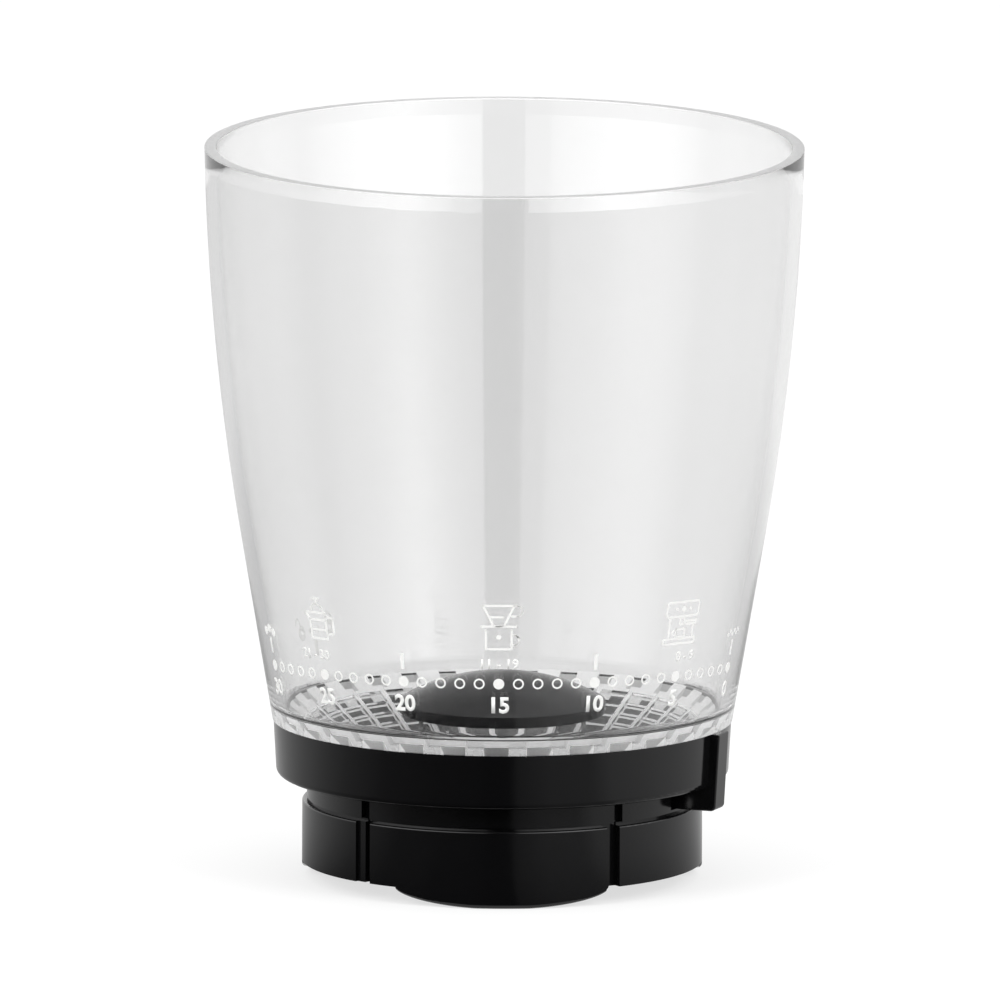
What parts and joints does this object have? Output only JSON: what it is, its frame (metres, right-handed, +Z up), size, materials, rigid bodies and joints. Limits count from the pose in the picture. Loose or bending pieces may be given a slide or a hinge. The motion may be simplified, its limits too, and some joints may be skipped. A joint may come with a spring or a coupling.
{
  "type": "coffee grinder bean hopper",
  "caption": "Clear flared bean bowl with a ribbed funnel floor and a domed bean guard, on a black collar with a drive lug and a keyed bayonet ring.",
  "frame": {"origin": "on the bowl's axis, at the level that the ring's feet stand on", "axes": "+Z up along the bowl's axis, -Y towards the front where the middle of the scale is, +X to the right"},
  "size_m": [0.13, 0.13, 0.16],
  "materials": {
    "clear_plastic": "clear moulded copolyester, polished",
    "black_plastic": "black moulded ABS, glossy",
    "screw_steel": "zinc plated",
    "white_print": "screen printed ink"
  },
  "bodies": {
    "root": {"hopper_bowl": "clear_plastic", "base_collar": "black_plastic", "bayonet_ring": "black_plastic", "bean_guard": "black_plastic", "ring_screws": "screw_steel"}
  },
  "joints": []
}
